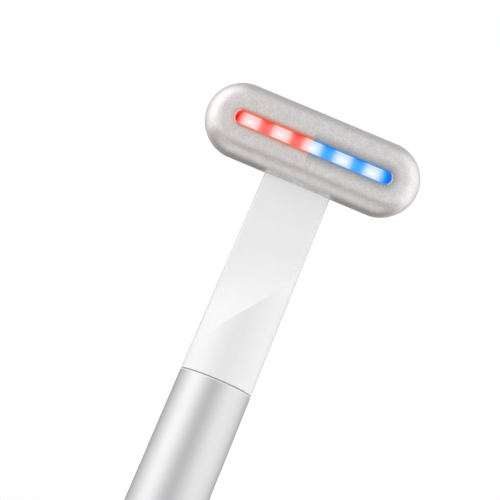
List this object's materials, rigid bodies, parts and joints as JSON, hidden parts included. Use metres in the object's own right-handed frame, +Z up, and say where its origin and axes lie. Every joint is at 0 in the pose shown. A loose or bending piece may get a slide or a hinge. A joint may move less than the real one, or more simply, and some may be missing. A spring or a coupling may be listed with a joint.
{
  "type": "heated eye massager wand",
  "caption": "T-shaped light, warmth and vibration wand: a satin metal head with a lit slot swivels on a white faceted neck above a round metal grip with a push button.",
  "frame": {"origin": "centre of the end cap's flat foot", "axes": "+Z up the grip to the head, -Y the way the lit face looks, X along the head"},
  "size_m": [0.0572, 0.0178, 0.1694],
  "materials": {
    "grip_metal": "satin, fine bead-blasted sheen",
    "head_metal": "fine bead-blasted satin",
    "white_gloss": "glossy moulded, plain",
    "seal_rubber": "smooth silicone",
    "screw_steel": "bright zinc-plated",
    "socket_steel": "drawn bright",
    "shaft_steel": "ground",
    "nickel": "nickel strip",
    "bezel_chrome": "polished",
    "bearing_white": "natural acetal",
    "carrier_black": "moulded nylon",
    "board_green": "solder mask",
    "board_white": "white solder mask",
    "chip_black": "moulded epoxy",
    "plug_cream": "moulded nylon",
    "lead_black": "smooth insulation",
    "cell_wrap": "shrink wrap",
    "heater_amber": "polyimide film",
    "weight_metal": "sintered tungsten",
    "window_milk": "frosted translucent acrylic, lit from behind: red half and blue half",
    "pipe_clear": "clear polished acrylic",
    "lamp_red": "lit diode",
    "lamp_blue": "lit diode",
    "lamp_mixed": "lit diode with a red and a blue chip",
    "lamp_white": "unlit diode"
  },
  "bodies": {
    "grip": {"grip_tube": "grip_metal", "neck_shell": "white_gloss", "end_cap": "white_gloss", "seam_gasket": "seal_rubber", "end_cap_seal": "seal_rubber", "end_cap_screws": "screw_steel", "carrier_screws": "screw_steel", "usb_socket": "socket_steel", "vibration_motor": "socket_steel", "battery_tabs": "nickel", "button_bezel": "bezel_chrome", "swivel_bush": "bearing_white", "inner_carrier": "carrier_black", "main_board": "board_green", "usb_board": "board_green", "board_chips": "chip_black", "tact_switch": "chip_black", "lead_plug": "plug_cream", "lead_bundle": "lead_black", "battery_cell": "cell_wrap", "light_pipe": "pipe_clear", "indicator_led": "lamp_white"},
    "head": {"swivel_shaft": "shaft_steel", "friction_ring": "seal_rubber", "stop_ring": "shaft_steel", "retaining_clip": "shaft_steel", "thrust_washer": "head_metal", "swivel_block": "carrier_black", "block_screws": "screw_steel", "head_face": "head_metal", "head_back": "head_metal", "light_window": "window_milk", "heater_film": "heater_amber", "temperature_sensor": "chip_black", "led_board": "board_white", "led_board_screws": "screw_steel", "red_leds": "lamp_red", "centre_led": "lamp_mixed", "blue_leds": "lamp_blue", "head_plug": "plug_cream"},
    "button": {"power_button": "white_gloss", "switch_plunger": "chip_black"},
    "motor_rotor": {"motor_shaft": "shaft_steel", "eccentric_weight": "weight_metal"}
  },
  "joints": [
    {"name": "head_swivel", "type": "hinge", "parent": "grip", "child": "head", "pos_m": [0, 0, 0.1488], "axis": [0, 0, 1], "range_deg": [-90, 90]},
    {"name": "button_press", "type": "slide", "parent": "grip", "child": "button", "axis": [0, -1, 0], "range_m": [0, 0.00035], "stiffness_N_per_m": 1500, "springref_m": -0.0005},
    {"name": "motor_spin", "type": "hinge", "parent": "grip", "child": "motor_rotor", "pos_m": [0, -0.0039, 0.0765], "axis": [0, 0, 1], "continuous": true}
  ]
}
